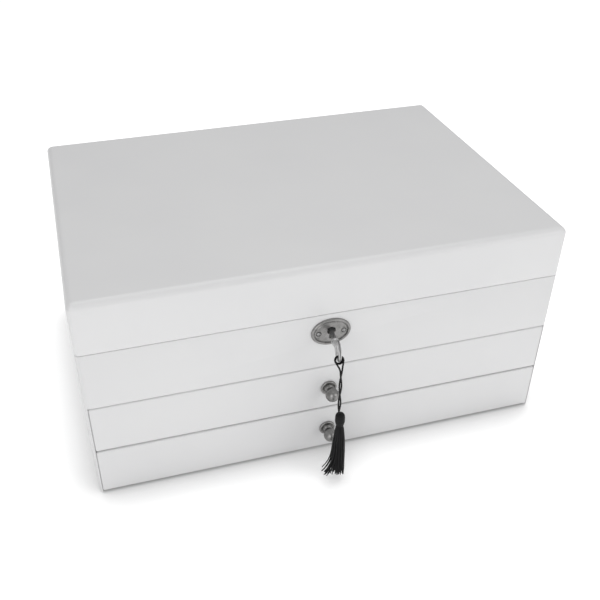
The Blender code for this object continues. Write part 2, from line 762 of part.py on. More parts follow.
def cord_route():
    """Up from the tassel, round the bow's rim in a loop, and down again, the two strands twisted together."""
    out, across = key_directions()
    plumb = hang_point()
    rim = rim_point()
    angle = math.radians(RIM_ANGLE)
    inward = Vector((0, 0, math.sin(angle))) - out * math.cos(angle)
    foot = TASSEL_TOP + GAP + 0.0002
    throat = rim.z - 0.0052
    rise = []
    for k in range(CORD_STEPS + 1):
        part = k / CORD_STEPS
        turn = math.pi * (part - 1) * CORD_TURNS
        offset = (across * math.cos(turn) + out * math.sin(turn)) * CORD_DIAMETER * 0.58
        rise.append(Vector((plumb.x, plumb.y, foot + (throat - foot) * part)) + offset)
    over = []
    for k in range(7):
        swing = math.radians(-38 + 256 * k / 6)
        over.append(rim + (across * math.cos(swing) + inward * math.sin(swing)) * CORD_LOOP_R)
    fall = []
    for point in reversed(rise):
        fall.append(Vector((2 * plumb.x - point.x, 2 * plumb.y - point.y, point.z)))
    return eased(through(rise + over + fall, CORD_POINTS))


def make_cord():
    """The doubled cord between the key's bow and the tassel, as one plain tube."""
    points = cord_route()
    curve = bpy.data.curves.new("tassel_cord", "CURVE")
    curve.dimensions = "3D"
    curve.bevel_depth = CORD_DIAMETER / 2
    curve.bevel_resolution = 2
    curve.use_fill_caps = True
    spline = curve.splines.new("POLY")
    spline.points.add(len(points) - 1)
    for point, place in zip(spline.points, points):
        point.co = (*place, 1.0)
    cord = bpy.data.objects.new("tassel_cord", curve)
    bpy.context.collection.objects.link(cord)
    curve.materials.append(MATERIALS["tassel_thread"])
    return cord


def make_tassel():
    """The tassel's bound head, and the skirt of threads below it."""
    plumb = hang_point()
    place = (plumb.x, plumb.y)
    head_profile = [
        (0.0011, TASSEL_TOP),
        (0.0021, TASSEL_TOP - 0.0004),
        (0.0027, TASSEL_TOP - 0.0014),
        (0.0029, TASSEL_TOP - 0.0030),
        (0.0029, TASSEL_TOP - 0.0062),
        (0.0026, TASSEL_TOP - 0.0078),
        (0.0024, TASSEL_NECK),
    ]
    head = smooth(lathe_z("tassel_head", head_profile, place, "tassel_thread"))
    top = TASSEL_NECK - GAP
    skirt_profile = [
        (0.0026, top),
        (0.0034, top - 0.0040),
        (0.0039, top - 0.0110),
        (0.0043, top - 0.0230),
        (0.0042, top - 0.0380),
        (0.0040, TASSEL_BOTTOM),
    ]
    skirt = smooth(lathe_z("tassel_skirt", skirt_profile, place, "tassel_thread"))
    hang_from(axis_empty("tassel_hang_axis", rim_point()), make_cord(), head, skirt)


make_base_felt()
make_case_walls()
make_front_rail()
make_escutcheon()
make_lock_case()
make_lock_bolt()
make_key()
make_lock_drum()
make_tassel()
make_compartment()
LID_AXIS = axis_empty("lid_hinge_axis", (0, *HINGE_AXIS))
hang_from(LID_AXIS, *make_lid_shell(), *make_lid_inside(), make_strike())
hang_from(LID_AXIS, make_hinge("left", -1), make_hinge("right", 1))
make_drawer("lower", LOWER_FRONT)
make_drawer("upper", UPPER_FRONT)
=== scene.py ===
"""The looks of a white lacquered jewellery chest with a lock, key and tassel, and two drawers.

Metres. X to the right, Y to the back, Z up. The origin is on the floor under the middle of the case.
"""

import math
import random

import bmesh
import bpy
from mathutils import Matrix, Vector, noise


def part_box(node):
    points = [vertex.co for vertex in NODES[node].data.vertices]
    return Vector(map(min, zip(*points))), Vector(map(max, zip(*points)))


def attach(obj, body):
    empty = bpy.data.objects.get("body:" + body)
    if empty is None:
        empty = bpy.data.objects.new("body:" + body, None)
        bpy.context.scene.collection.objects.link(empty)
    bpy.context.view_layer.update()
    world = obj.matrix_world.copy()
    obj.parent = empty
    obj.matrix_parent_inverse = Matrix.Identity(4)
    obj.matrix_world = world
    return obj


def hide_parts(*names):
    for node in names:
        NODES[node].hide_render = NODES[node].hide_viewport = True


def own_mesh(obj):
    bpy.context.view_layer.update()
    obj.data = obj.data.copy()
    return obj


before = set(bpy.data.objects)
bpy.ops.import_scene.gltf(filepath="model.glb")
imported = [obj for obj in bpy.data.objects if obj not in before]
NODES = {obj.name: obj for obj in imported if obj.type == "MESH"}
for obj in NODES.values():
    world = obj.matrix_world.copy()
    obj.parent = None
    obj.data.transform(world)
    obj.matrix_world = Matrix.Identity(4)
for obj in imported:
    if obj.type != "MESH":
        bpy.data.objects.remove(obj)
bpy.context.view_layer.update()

# Camera
CAMERA_PLACE = (-0.13378, -0.46729, 0.38517)
CAMERA_AZIMUTH = 15.72
CAMERA_ELEVATION = 35.62
CAMERA_ROLL = -0.23
CAMERA_LENS = 47.90
CAMERA_SHIFT = (0.0331, 0.0209)

# Case and lid
CORNER_R = 0.003
TOP_EDGE_R = 0.0042
BOTTOM_EDGE_R = 0.0005
SEAM_CLOSING = 0.0002
DRAWER_WIDENING = 0.0004
WALL = 0.009
GAP = 0.0003
LIP = 0.0016
CORNER_STEPS = 10
LID_TOP_THICKNESS = 0.009
LOCK_RECESS_HALF = 0.018
LOCK_RECESS_LOW = 0.0842
LOCK_RECESS_DEPTH = 0.0065
STRIKE_RECESS_DEPTH = 0.0018
RAIL_HOLE_R = 0.0041
RAIL_SLOT = (0.0044, 0.0068)
DRAWER_EDGE_R = 0.0012

# Knobs: (radius, distance out from the drawer front)
KNOB_SEAT = [
    (0.0010, 0.0002),
    (0.0051, 0.0002),
    (0.0052, 0.0004),
    (0.0052, 0.0009),
    (0.0050, 0.0013),
    (0.0047, 0.0015),
    (0.0044, 0.0015),
    (0.0041, 0.0012),
    (0.0038, 0.0009),
    (0.0034, 0.0009),
    (0.0032, 0.0013),
    (0.0030, 0.0020),
    (0.0026, 0.0025),
    (0.0022, 0.0029),
    (0.0021, 0.0034),
    (0.0024, 0.0038),
]
KNOB_BALL_R = 0.0044
KNOB_BALL_OUT = 0.0079

# Escutcheon: (distance in from the edge, height above the rail) from the back to the field
PLATE_HALF = (0.0125, 0.0095)
PLATE_PROFILE = [
    (0.00010, 0.0001),
    (0.00000, 0.0003),
    (0.00005, 0.0007),
    (0.00040, 0.0012),
    (0.00090, 0.0015),
    (0.00130, 0.0015),
    (0.00165, 0.0012),
    (0.00185, 0.0007),
    (0.00215, 0.0007),
    (0.00240, 0.0010),
    (0.00290, 0.0011),
    (0.00520, 0.0012),
    (0.00900, 0.0012),
]
HARDWARE_X = -0.0010
PLATE_Z = 0.0974
KEYHOLE_Z = 0.0986
KEYHOLE_R = 0.00275
KEYHOLE_SLOT = (0.0024, 0.0058)
PIN_SPREAD = 0.0079
COUNTERSINK_R = 0.0017
COUNTERSINK_FLOOR = 0.0002

# Plate screws: (radius, distance out from the case front)
SCREW_PROFILE = [
    (0.0005, -0.0015),
    (0.0005, 0.0003),
    (0.0012, 0.0003),
    (0.00125, 0.0011),
    (0.0011, 0.0014),
    (0.0008, 0.0016),
    (0.0004, 0.0017),
]
SCREW_SLOT_HALF = 0.0002
SCREW_SLOT_Y = (-0.0020, -0.0013)

# Key
KEY_YAW = math.radians(-7.2)
KEY_SHAFT_R = 0.0016
KEY_BIT_THICKNESS = 0.0015
KEY_BIT_Y = (0.0034, 0.0060)
KEY_BIT_DROP = 0.0050
BOW_CENTRE = 0.0212
BOW_R = 0.0064
BOW_HOLE_R = 0.0044
BOW_MIDDLE_R = (BOW_R + BOW_HOLE_R) / 2
BOW_THICKNESS = 0.0018
BOW_GROOVE = 0.0006

# Key shaft with its collars: (radius, distance out from the case front)
KEY_SHAFT_PROFILE = [
    (0.0004, -0.0062),
    (0.0013, -0.0062),
    (KEY_SHAFT_R, -0.0058),
    (KEY_SHAFT_R, 0.0106),
    (0.0018, 0.0109),
    (0.0022, 0.0112),
    (0.0023, 0.0118),
    (0.0022, 0.0124),
    (0.0019, 0.0127),
    (0.0018, 0.0130),
    (0.0020, 0.0136),
    (0.0020, 0.0141),
    (0.0017, 0.0152),
    (0.0010, 0.0158),
]

# Cord and tassel
CORD_DIAMETER = 0.0011
CORD_TURNS = 2.5
CORD_STEPS = 12
CORD_LOOP_R = 0.0027
CORD_POINTS = 110
CORD_EASING = 4
CORD_SPREAD = 0.58
YARN_LAY = 0.0040
LOOP_START = -38
LOOP_SWEEP = 256
LOOP_DROP = 0.0052
RIM_ANGLE = 45
HANG_OUT = 0.0022
HANG_ACROSS = 0.0009
HITCH_ANGLES = (57, 70)
HITCH_R = 0.0021
TASSEL_TOP = 0.0552
TASSEL_NECK = 0.0460
TASSEL_BOTTOM = 0.0034
HEAD_WINDING = 0.00062
TASSEL_LEAN = 0.0003
HEAD_LEAN = 0.0009
STRAND_COUNT = 110
STRAND_R = 0.00034
STRAND_STEPS = 12
STRAY_REACHES = (0.0003, 0.0012, 0.0062, 0.0062)
STRAY_BEND = 4.5
NECK_R = 0.0016
SKIRT_R = 0.0039

# Tassel head: (radius, distance down from its top)
HEAD_OUTLINE = [
    (0.0011, 0.0),
    (0.0020, 0.0004),
    (0.0027, 0.0013),
    (0.0030, 0.0030),
    (0.0030, 0.0062),
    (0.0027, 0.0078),
    (0.0024, TASSEL_TOP - TASSEL_NECK),
]

# Ring rolls
ROLL_COUNT = 6
ROLL_TOP = 0.0975
ROLL_GAP = 0.0014
ROLL_END_GAP = 0.0010
ROLL_CLEARANCE = 0.0008
ROLL_PUFF = 0.0007

# Stage
FLOOR_REACH = 30.0
# How far the floor's painted contact shadow reaches from whatever stands on it.
PAINTED_SHADE_REACH = 0.030
FLOOR_GLOW = 0.34
HORIZON = (0.42, 0.42, 0.43, 1.0)
WHITE = (1.0, 1.0, 1.0, 1.0)
SKY_STRENGTH = 0.62

# Soft lights: (name, place, aim, size, power)
SOFTBOXES = [
    ("left_front", (-0.7, -1.2, 0.55), (0, 0, 0.04), 0.8, 5.0),
    ("right_front", (1.0, -1.1, 0.60), (0, 0, 0.04), 0.8, 4.2),
    ("overhead", (0.2, 0.4, 1.6), (0, 0, 0.1), 1.2, 8.6),
]

SEED = 7


def low(node):
    return Vector(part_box(node)[0])


def high(node):
    return Vector(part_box(node)[1])


FRONT_Y = low("case_front_rail").y
BACK_Y = high("case_back").y
SIDE_X = high("case_right_side").x
INNER_Y = FRONT_Y + WALL


# Camera, floor and light


def make_camera():
    """The camera in front of the chest, a little to its left and above it."""
    azimuth, elevation, roll = (math.radians(a) for a in (CAMERA_AZIMUTH, CAMERA_ELEVATION, CAMERA_ROLL))
    level = Vector((math.sin(azimuth), math.cos(azimuth), 0.0))
    ahead = level * math.cos(elevation) - Vector((0.0, 0.0, math.sin(elevation)))
    right = Vector((math.cos(azimuth), -math.sin(azimuth), 0.0))
    up = right.cross(ahead)
    rolled_right = right * math.cos(roll) + up * math.sin(roll)
    rolled_up = up * math.cos(roll) - right * math.sin(roll)
    data = bpy.data.cameras.new("camera")
    data.lens = CAMERA_LENS
    data.sensor_width = 36
    data.shift_x, data.shift_y = CAMERA_SHIFT
    data.clip_start = 0.01
    camera = bpy.data.objects.new("camera", data)
    bpy.context.collection.objects.link(camera)
    pose = Matrix((rolled_right, rolled_up, -ahead)).transposed().to_4x4()
    pose.translation = Vector(CAMERA_PLACE)
    camera.matrix_world = pose
    bpy.context.scene.camera = camera


def make_softbox(name, place, aim, size, power):
    """A square soft light at a place, turned towards a point."""
    data = bpy.data.lights.new(name, "AREA")
    data.shape = "SQUARE"
    data.size = size
    data.energy = power
    light = bpy.data.objects.new(name, data)
    light.location = place
    light.rotation_euler = (Vector(aim) - Vector(place)).to_track_quat("-Z", "Y").to_euler()
    bpy.context.collection.objects.link(light)


def make_world():
    """A studio sky, darker low down so that metal has something dark to show; seen directly it is white."""
    world = bpy.data.worlds.new("studio")
    bpy.context.scene.world = world
    world.use_nodes = True
    tree = world.node_tree
    place = tree.nodes.new("ShaderNodeTexCoord")
    split = tree.nodes.new("ShaderNodeSeparateXYZ")
    ramp = tree.nodes.new("ShaderNodeValToRGB")
    tree.links.new(place.outputs["Generated"], split.inputs[0])
    tree.links.new(split.outputs["Z"], ramp.inputs[0])
    ramp.color_ramp.elements[0].position = 0.02
    ramp.color_ramp.elements[0].color = HORIZON
    ramp.color_ramp.elements[1].position = 0.55
    ramp.color_ramp.elements[1].color = WHITE
    background = tree.nodes["Background"]
    tree.links.new(ramp.outputs[0], background.inputs["Color"])
    background.inputs["Strength"].default_value = SKY_STRENGTH
    backdrop = tree.nodes.new("ShaderNodeBackground")
    backdrop.inputs["Color"].default_value = WHITE
    path = tree.nodes.new("ShaderNodeLightPath")
    either = tree.nodes.new("ShaderNodeMixShader")
    tree.links.new(path.outputs["Is Camera Ray"], either.inputs["Fac"])
    tree.links.new(background.outputs[0], either.inputs[1])
    tree.links.new(backdrop.outputs[0], either.inputs[2])
    tree.links.new(either.outputs[0], tree.nodes["World Output"].inputs["Surface"])


def make_floor():
    """A plain pale floor that glows a little, with a painted contact shadow: its colour and glow darken
    softly close to whatever stands on it.
    """
    mesh = bpy.data.meshes.new("floor")
    corners = [(x * FLOOR_REACH, y * FLOOR_REACH, 0.0) for x, y in ((-1, -1), (1, -1), (1, 1), (-1, 1))]
    mesh.from_pydata(corners, [], [(0, 1, 2, 3)])
    floor = bpy.data.objects.new("floor", mesh)
    bpy.context.collection.objects.link(floor)
    material, shader = new_material("floor_paper", (0.93, 0.93, 0.93), 0.9)
    # Painted contact shadow: ambient occlusion darkens the floor's colour and its glow near whatever stands
    # on it.
    near = material.node_tree.nodes.new("ShaderNodeAmbientOcclusion")
    near.inputs["Distance"].default_value = PAINTED_SHADE_REACH
    near.samples = 12
    stops = [(0.0, (0.20, 0.20, 0.20)), (0.5, (0.66, 0.66, 0.66)), (0.92, (0.95, 0.95, 0.95))]
    tint = ramp_node(material, near.outputs["AO"], stops)
    join(material, tint, shader.inputs["Base Color"])
    join(material, tint, shader.inputs["Emission Color"])
    shader.inputs["Specular IOR Level"].default_value = 0.1
    shader.inputs["Emission Strength"].default_value = FLOOR_GLOW
    mesh.materials.append(material)


# Materials


def new_material(name, colour, roughness, metallic=0.0):
    """A material with its main shader, ready for detail."""
    material = bpy.data.materials.new(name)
    material.use_nodes = True
    shader = material.node_tree.nodes["Principled BSDF"]
    shader.inputs["Base Color"].default_value = (*colour, 1.0)
    shader.inputs["Roughness"].default_value = roughness
    shader.inputs["Metallic"].default_value = metallic
    return material, shader


def join(material, output, socket):
    material.node_tree.links.new(output, socket)


def place_node(material, stretch=(1.0, 1.0, 1.0)):
    """The point on the object in metres, stretched along its axes."""
    nodes = material.node_tree.nodes
    place = nodes.new("ShaderNodeTexCoord")
    mapping = nodes.new("ShaderNodeMapping")
    mapping.inputs["Scale"].default_value = stretch
    join(material, place.outputs["Object"], mapping.inputs["Vector"])
    return mapping.outputs["Vector"]


def noise_node(material, scale, detail=2.0, stretch=(1.0, 1.0, 1.0), roughness=0.5):
    """Cloudy noise with so many lumps to the metre."""
    node = material.node_tree.nodes.new("ShaderNodeTexNoise")
    node.inputs["Scale"].default_value = scale
    node.inputs["Detail"].default_value = detail
    node.inputs["Roughness"].default_value = roughness
    join(material, place_node(material, stretch), node.inputs["Vector"])
    return node.outputs["Fac"]


def ramp_node(material, value, stops):
    """A value turned into colours at stops (position, colour)."""
    node = material.node_tree.nodes.new("ShaderNodeValToRGB")
    elements = node.color_ramp.elements
    while len(elements) < len(stops):
        elements.new(0.5)
    for element, (position, colour) in zip(elements, stops):
        element.position = position
        element.color = (*colour, 1.0)
    join(material, value, node.inputs[0])
    return node.outputs[0]


def range_node(material, value, start, end):
    """A value from 0 to 1 spread between two others."""
    node = material.node_tree.nodes.new("ShaderNodeMapRange")
    node.inputs["To Min"].default_value = start
    node.inputs["To Max"].default_value = end
    join(material, value, node.inputs["Value"])
    return node.outputs["Result"]


def bump_node(material, shader, heights):
    """Relief from heights, each (value, depth in metres), the last the finest."""
    before = None
    for value, depth in heights:
        node = material.node_tree.nodes.new("ShaderNodeBump")
        node.inputs["Distance"].default_value = depth
        join(material, value, node.inputs["Height"])
        if before:
            join(material, before, node.inputs["Normal"])
        before = node.outputs["Normal"]
    join(material, before, shader.inputs["Normal"])


def mix_node(material, share, first, second):
    """Two colours mixed by a share."""
    node = material.node_tree.nodes.new("ShaderNodeMix")
    node.data_type = "RGBA"
    join(material, share, node.inputs["Factor"])
    join(material, first, node.inputs["A"])
    join(material, second, node.inputs["B"])
    return node.outputs["Result"]


def lacquer():
    """Satin sprayed lacquer: a faint orange peel and slightly cloudy gloss and colour."""
    material, shader = new_material("white_lacquer", (0.62, 0.62, 0.62), 0.36)
    clouds = noise_node(material, 14, 3)
    tint = ramp_node(material, clouds, [(0.3, (0.612, 0.612, 0.617)), (0.7, (0.628, 0.628, 0.630))])
    join(material, tint, shader.inputs["Base Color"])
    join(material, range_node(material, noise_node(material, 40, 4), 0.31, 0.43), shader.inputs["Roughness"])
    shader.inputs["Specular IOR Level"].default_value = 0.40
    shader.inputs["Coat Weight"].default_value = 0.12
    shader.inputs["Coat Roughness"].default_value = 0.16
    peel = noise_node(material, 520, 1)
    waves = noise_node(material, 30, 2)
    bump_node(material, shader, [(waves, 0.00025), (peel, 0.000012)])
    return material


def raw_wood():
    """Pale close-grained drawer wood, sanded and sealed."""
    material, shader = new_material("drawer_wood", (0.60, 0.57, 0.52), 0.55)
    grain = noise_node(material, 90, 6, (0.9, 0.05, 1.6), 0.62)
    pores = noise_node(material, 1400, 2, (1.0, 0.03, 1.0))
    stops = [(0.25, (0.50, 0.45, 0.38)), (0.5, (0.60, 0.56, 0.49)), (0.75, (0.66, 0.63, 0.57))]
    join(material, ramp_node(material, grain, stops), shader.inputs["Base Color"])
    join(material, range_node(material, grain, 0.48, 0.66), shader.inputs["Roughness"])
    bump_node(material, shader, [(grain, 0.00015), (pores, 0.00005)])
    return material


def velvet(name, dark, pale):
    """Short pile that lies in soft patches, pale at grazing angles."""
    material, shader = new_material(name, dark, 0.95)
    nap = noise_node(material, 55, 4, (1.0, 1.0, 1.0), 0.6)
    pile = noise_node(material, 3200, 2)
    tint = ramp_node(material, nap, [(0.32, dark), (0.68, pale)])
    speck = ramp_node(material, pile, [(0.35, tuple(c * 0.55 for c in dark)), (0.65, pale)])
    mixed = mix_node(material, range_node(material, pile, 0.1, 0.5), tint, speck)
    join(material, mixed, shader.inputs["Base Color"])
    shader.inputs["Sheen Weight"].default_value = 0.65
    shader.inputs["Sheen Roughness"].default_value = 0.35
    shader.inputs["Specular IOR Level"].default_value = 0.15
    bump_node(material, shader, [(nap, 0.0004), (pile, 0.00025)])
    return material


def felt():
    """Pressed felt with short tangled fibres."""
    material, shader = new_material("felt", (0.035, 0.035, 0.037), 0.95)
    fibres = noise_node(material, 1800, 5, (1.0, 0.4, 1.0), 0.7)
    tint = ramp_node(material, fibres, [(0.3, (0.02, 0.02, 0.022)), (0.7, (0.06, 0.06, 0.063))])
    join(material, tint, shader.inputs["Base Color"])
    bump_node(material, shader, [(fibres, 0.0003)])
    return material


def antique_nickel(name, deep, rubbed, fine=1.0):
    """Dark plated metal, its hollows dull with patina, its high places rubbed paler, finely scratched."""
    material, shader = new_material(name, rubbed, 0.3, 1.0)
    cloud = noise_node(material, 420 * fine, 5, (1.0, 1.0, 1.0), 0.62)
    geometry = material.node_tree.nodes.new("ShaderNodeNewGeometry")
    hollow_to_edge = [(0.46, (0.0, 0.0, 0.0)), (0.56, (1.0, 1.0, 1.0))]
    edge = ramp_node(material, geometry.outputs["Pointiness"], hollow_to_edge)
    old = ramp_node(material, cloud, [(0.30, deep), (0.52, rubbed)])
    bright = tuple(min(c * 1.35, 1.0) for c in rubbed)
    shiny = ramp_node(material, cloud, [(0.2, rubbed), (0.6, bright)])
    join(material, mix_node(material, edge, old, shiny), shader.inputs["Base Color"])
    join(material, range_node(material, cloud, 0.50, 0.26), shader.inputs["Roughness"])
    scratches = noise_node(material, 900, 3, (0.15, 1.0, 2.2), 0.7)
    bump_node(material, shader, [(cloud, 0.00009), (scratches, 0.00003)])
    return material


def steel():
    """Zinc-plated steel, faintly brushed."""
    material, shader = new_material("steel", (0.52, 0.53, 0.55), 0.32, 1.0)
    brushed = noise_node(material, 1600, 3, (0.04, 1.0, 1.0), 0.6)
    cloud = noise_node(material, 160, 3)
    tint = ramp_node(material, cloud, [(0.3, (0.44, 0.45, 0.46)), (0.7, (0.60, 0.61, 0.62))])
    join(material, tint, shader.inputs["Base Color"])
    join(material, range_node(material, brushed, 0.24, 0.44), shader.inputs["Roughness"])
    bump_node(material, shader, [(brushed, 0.00003)])
    return material


def mirror_glass():
    """Silvered glass with a breath of haze."""
    material, shader = new_material("mirror_glass", (0.86, 0.89, 0.89), 0.03, 1.0)
    haze = noise_node(material, 22, 4)
    join(material, range_node(material, haze, 0.015, 0.07), shader.inputs["Roughness"])
    tint = ramp_node(material, haze, [(0.3, (0.84, 0.87, 0.87)), (0.7, (0.89, 0.91, 0.91))])
    join(material, tint, shader.inputs["Base Color"])
    return material


def thread():
    """Black viscose thread with a silky streak along it."""
    material, shader = new_material("tassel_thread", (0.006, 0.006, 0.006), 0.6)
    streak = noise_node(material, 2600, 3, (1.0, 1.0, 0.12))
    tint = ramp_node(material, streak, [(0.35, (0.003, 0.003, 0.003)), (0.7, (0.010, 0.010, 0.011))])
    join(material, tint, shader.inputs["Base Color"])
    join(material, range_node(material, streak, 0.42, 0.7), shader.inputs["Roughness"])
    shader.inputs["Sheen Weight"].default_value = 0.02
    shader.inputs["Specular IOR Level"].default_value = 0.14
    bump_node(material, shader, [(streak, 0.00012)])
    return material


# Mesh helpers


def mesh_piece(name, verts, faces, material, shade=30):
    """A piece from points and faces, with outward faces and smooth shading up to an angle."""
    mesh = bpy.data.meshes.new(name)
    mesh.from_pydata([tuple(v) for v in verts], [], faces)
    bm = bmesh.new()
    bm.from_mesh(mesh)
    bmesh.ops.recalc_face_normals(bm, faces=bm.faces)
    bm.to_mesh(mesh)
    bm.free()
    piece = bpy.data.objects.new(name, mesh)
    bpy.context.collection.objects.link(piece)
    if material:
        mesh.materials.append(material)
    if shade:
        smooth(piece, shade)
    return piece


def smooth(piece, angle):
    """Smooth shading, with edges sharper than an angle in degrees left crisp."""
    piece.data.shade_smooth()
    piece.data.set_sharp_from_angle(angle=math.radians(angle))


def ring_faces(count, levels, first=0, capped=True):
    """Faces of a stack of rings of equally many points, with a cap on each end."""
    faces = []
    for level in range(levels - 1):
        base = first + level * count
        for k in range(count):
            after = (k + 1) % count
            faces.append([base + k, base + after, base + count + after, base + count + k])
    if capped:
        faces.append([first + k for k in range(count)])
        faces.append([first + (levels - 1) * count + k for k in range(count)])
    return faces


def torus_faces(around, section, first=0):
    """Faces of a closed tube of sections set round a circle."""
    faces = []
    for k in range(around):
        for n in range(section):
            a = first + k * section
            b = first + (k + 1) % around * section
            m = (n + 1) % section
            faces.append([a + n, a + m, b + m, b + n])
    return faces


def stack(name, rings, material, shade=30):
    """A closed piece through rings of equally many points."""
    verts = [point for ring in rings for point in ring]
    return mesh_piece(name, verts, ring_faces(len(rings[0]), len(rings)), material, shade)


def block(name, x, y, z):
    """A plain block for cutting."""
    rings = [[(x[0], y[0], h), (x[1], y[0], h), (x[1], y[1], h), (x[0], y[1], h)] for h in z]
    return stack(name, rings, None, 0)


def arc(centre, radius, start, end, steps):
    """Points along an arc in a plane, angles in degrees."""
    points = []
    for k in range(steps + 1):
        angle = math.radians(start + (end - start) * k / steps)
        points.append((centre[0] + radius * math.cos(angle), centre[1] + radius * math.sin(angle)))
    return points


def rounded_rectangle(x, y, radius, steps=CORNER_STEPS):
    """The outline of a rectangle with round corners, seen from above."""
    left, right = x[0] + radius, x[1] - radius
    near, far = y[0] + radius, y[1] - radius
    points = arc((right, near), radius, -90, 0, steps)
    points += arc((right, far), radius, 0, 90, steps)
    points += arc((left, far), radius, 90, 180, steps)
    points += arc((left, near), radius, 180, 270, steps)
    return points


def circle(radius, steps):
    """Points round a circle about the origin."""
    angles = [math.tau * k / steps for k in range(steps)]
    return [(radius * math.cos(angle), radius * math.sin(angle)) for angle in angles]


def lathe_out(name, profile, centre, material, steps=64, shade=35):
    """A piece turned about a line along Y. profile is (radius, distance out from the front)."""
    rings = []
    for radius, out in profile:
        rings.append([(centre[0] + px, FRONT_Y - out, centre[1] + pz) for px, pz in circle(radius, steps)])
    return stack(name, rings, material, shade)


def carve(piece, *tools, operation="DIFFERENCE"):
    """Cut tools from a piece, or weld them on, and throw the tools away."""
    for tool in tools:
        modifier = piece.modifiers.new("carve", "BOOLEAN")
        modifier.operation = operation
        modifier.solver = "EXACT"
        modifier.object = tool
    settle(piece)
    for tool in tools:
        bpy.data.objects.remove(tool, do_unlink=True)
    return piece


def settle(piece):
    """Fix a piece's modifiers into its mesh."""
    bpy.context.view_layer.update()
    shape = bpy.data.meshes.new_from_object(piece.evaluated_get(bpy.context.evaluated_depsgraph_get()))
    piece.modifiers.clear()
    piece.data = shape
    return piece


def round_edges(piece, width, segments=3, angle=50):
    """Take the sharp edges off a piece."""
    bevel = piece.modifiers.new("edges", "BEVEL")
    bevel.width = width
    bevel.segments = segments
    bevel.limit_method = "ANGLE"
    bevel.angle_limit = math.radians(angle)
    bevel.use_clamp_overlap = True
    settle(piece)
    smooth(piece, 30)
    return piece


def place_on(piece, body, *nodes):
    """The piece rides on a body and stands for its CAD nodes."""
    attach(piece, body)
    if nodes:
        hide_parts(*nodes)
    return piece


# Case and lid


def box_ring(inset, height, corner):
    """The case's outline from above, drawn in by a distance, at a height."""
    x = (-SIDE_X + inset, SIDE_X - inset)
    y = (FRONT_Y + inset, BACK_Y - inset)
    return [(px, py, height) for px, py in rounded_rectangle(x, y, corner)]


def make_case_shell(material):
    """The lacquered case: one body with round corners, open for the drawers and the compartment."""
    z = (low("case_back").z, high("case_back").z + SEAM_CLOSING)
    rings = []
    for inset, height in (
        (BOTTOM_EDGE_R, z[0]),
        (BOTTOM_EDGE_R * 0.3, z[0] + BOTTOM_EDGE_R * 0.3),
        (0.0, z[0] + BOTTOM_EDGE_R),
        (0.0, z[1] - BOTTOM_EDGE_R),
        (BOTTOM_EDGE_R * 0.3, z[1] - BOTTOM_EDGE_R * 0.3),
        (BOTTOM_EDGE_R, z[1]),
    ):
        rings.append(box_ring(inset, height, CORNER_R))
    shell = stack("case_shell", rings, material)
    inside_x = (-SIDE_X + WALL, SIDE_X - WALL)
    inside = block("inside", inside_x, (INNER_Y, BACK_Y - WALL), (-0.01, 0.2))
    drawers_x = (-SIDE_X + LIP, SIDE_X - LIP)
    rail_low = low("case_front_rail").z
    drawers = block("drawers", drawers_x, (FRONT_Y - 0.01, INNER_Y), (-0.01, rail_low))
    recess_x = (-LOCK_RECESS_HALF, LOCK_RECESS_HALF)
    recess = block("recess", recess_x, (INNER_Y - LOCK_RECESS_DEPTH, INNER_Y + 0.002), (LOCK_RECESS_LOW, 0.2))
    bore = [(RAIL_HOLE_R, 0.002), (RAIL_HOLE_R, -WALL)]
    hole = lathe_out("hole", bore, (HARDWARE_X, KEYHOLE_Z), None, 32, 0)
    half, reach = RAIL_SLOT[0] / 2, RAIL_SLOT[1]
    slot_y = (FRONT_Y - 0.002, INNER_Y)
    slot = block("slot", (HARDWARE_X - half, HARDWARE_X + half), slot_y, (KEYHOLE_Z - reach, KEYHOLE_Z))
    carve(shell, inside, drawers, recess, hole, slot)
    smooth(shell, 30)
    nodes = ("case_left_side", "case_right_side", "case_back", "case_front_rail")
    return place_on(shell, "case", *nodes)


def make_lid_shell(material):
    """The lid: a shallow box upside down with a soft round edge along its top."""
    base = low("lid_front").z - SEAM_CLOSING
    top = high("lid_top").z
    levels = []
    for inset, rise in arc((BOTTOM_EDGE_R, BOTTOM_EDGE_R), BOTTOM_EDGE_R, 270, 180, 4):
        levels.append((inset, base + rise))
    for inset, drop in arc((TOP_EDGE_R, TOP_EDGE_R), TOP_EDGE_R, 180, 270, 12):
        levels.append((inset, top - drop))
    rings = []
    for inset, height in levels:
        corner = max(CORNER_R - inset * 0.5, 0.0008)
        rings.append(box_ring(inset, height, corner))
    shell = stack("lid_shell", rings, material)
    hollow_x = (-SIDE_X + WALL, SIDE_X - WALL)
    hollow_z = (base - 0.01, top - LID_TOP_THICKNESS - GAP)
    hollow = block("hollow", hollow_x, (INNER_Y, BACK_Y - WALL), hollow_z)
    strike = (low("strike_plate"), high("strike_plate"))
    recess_x = (strike[0].x - GAP, strike[1].x + GAP)
    recess_z = (base - 0.002, base + STRIKE_RECESS_DEPTH)
    recess = block("recess", recess_x, (FRONT_Y + 0.0020, INNER_Y + 0.002), recess_z)
    carve(shell, hollow, recess)
    smooth(shell, 30)
    nodes = ("lid_top", "lid_front", "lid_back", "lid_left", "lid_right")
    return place_on(shell, "lid", *nodes)


def make_drawer_front(level, material):
    """A flat lacquered drawer front with softly rounded edges."""
    node = f"{level}_drawer_front"
    a, b = low(node), high(node)
    x = (a.x - DRAWER_WIDENING, b.x + DRAWER_WIDENING)
    front = block(f"{level}_front_panel", x, (a.y, b.y), (a.z, b.z))
    front.data.materials.append(material)
    round_edges(front, DRAWER_EDGE_R, 4)
    return place_on(front, f"{level}_drawer", node)


def make_velvet_board(node, body, material, radius=0.0006):
    """A board covered with velvet, its edges rounded by the pile."""
    a, b = low(node), high(node)
    board = block(f"{node}_cover", (a.x, b.x), (a.y, b.y), (a.z, b.z))
    board.data.materials.append(material)
    round_edges(board, min(radius, (b.z - a.z) * 0.4), 3)
    return place_on(board, body, node)


# Knobs, escutcheon and key


